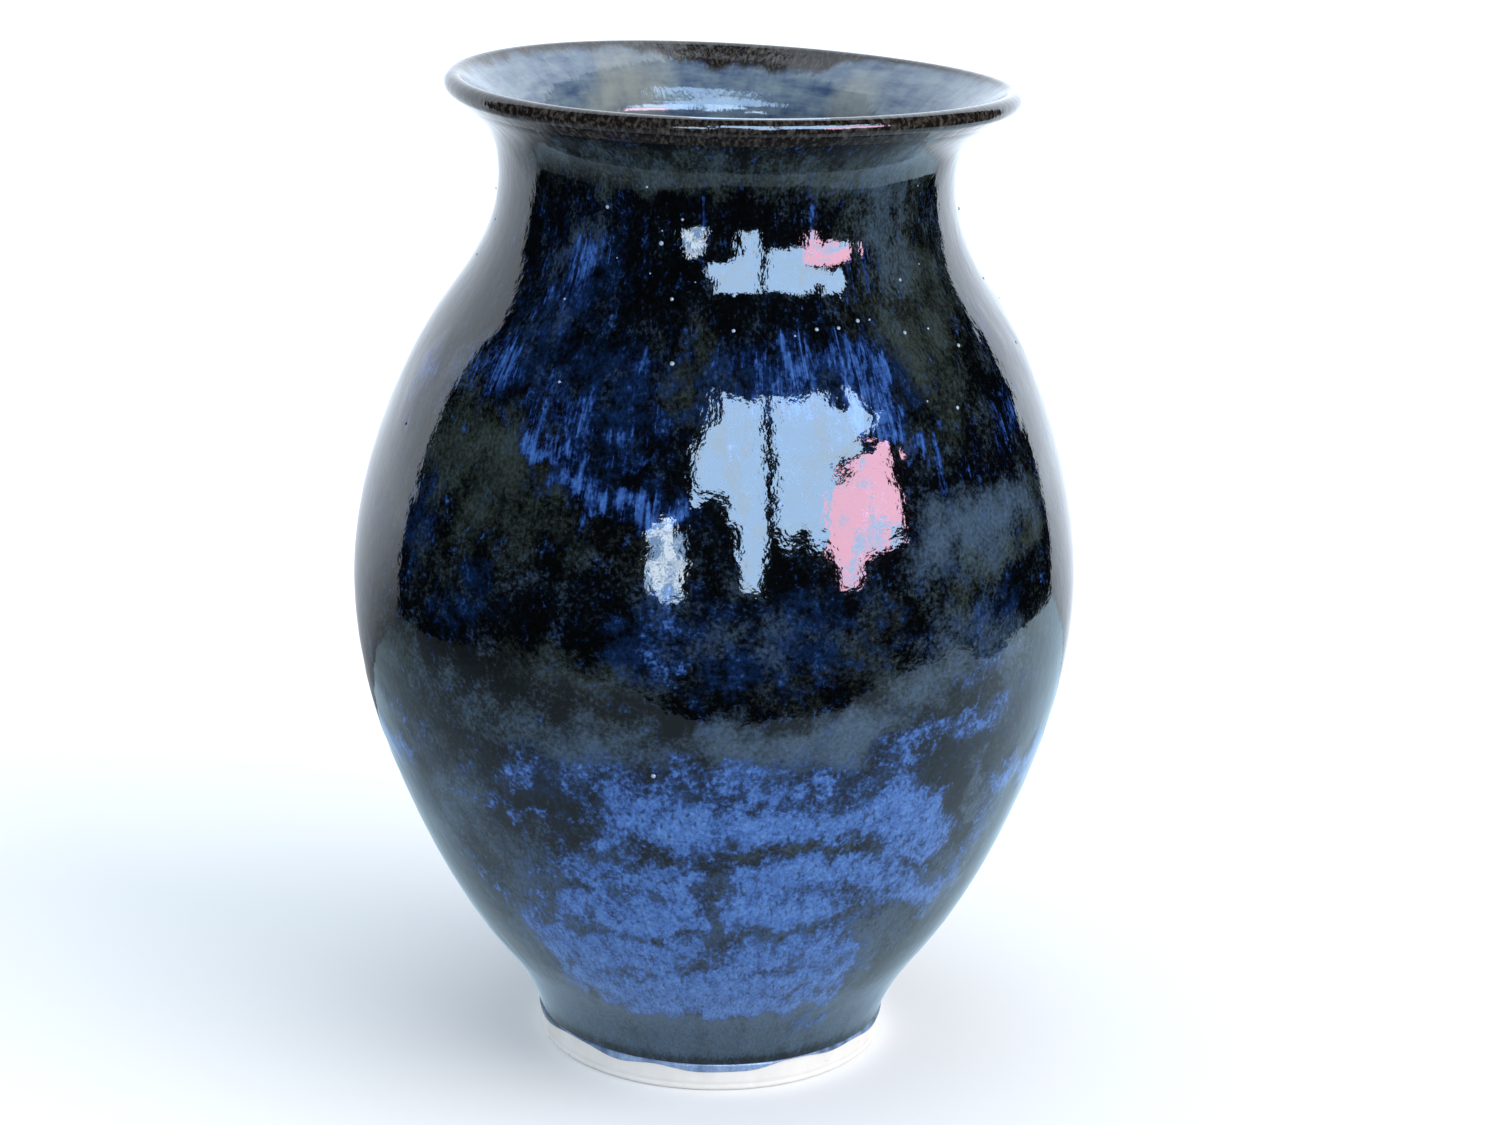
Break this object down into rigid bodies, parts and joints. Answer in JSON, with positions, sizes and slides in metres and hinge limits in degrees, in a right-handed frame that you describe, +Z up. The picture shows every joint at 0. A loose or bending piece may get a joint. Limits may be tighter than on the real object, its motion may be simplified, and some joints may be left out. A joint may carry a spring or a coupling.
{
  "type": "vase",
  "caption": "Wheel-thrown stoneware vase with a full shoulder, short neck, flared rim and small turned foot, for flowers or display.",
  "frame": {"origin": "centre of the foot ring's resting face", "axes": "+Z up the throwing axis; the vase is round about Z, and -Y is the side with the blue pours and most of the blisters"},
  "size_m": [0.1846, 0.1846, 0.2525],
  "materials": {
    "bare_clay": "unglazed fired clay, matt",
    "dark_glaze": "high gloss",
    "blue_glaze": "high gloss, streaked over the dark glaze",
    "glaze_bead": "high gloss",
    "rim_glaze": "high gloss",
    "liner_glaze": "gloss"
  },
  "bodies": {
    "root": {"foot": "bare_clay", "belly": "bare_clay", "shoulder": "bare_clay", "neck_and_lip": "bare_clay", "base_glaze": "dark_glaze", "belly_pour": "blue_glaze", "shoulder_pour": "blue_glaze", "glaze_roll": "glaze_bead", "rim_glaze": "rim_glaze", "liner_glaze": "liner_glaze"}
  },
  "joints": []
}
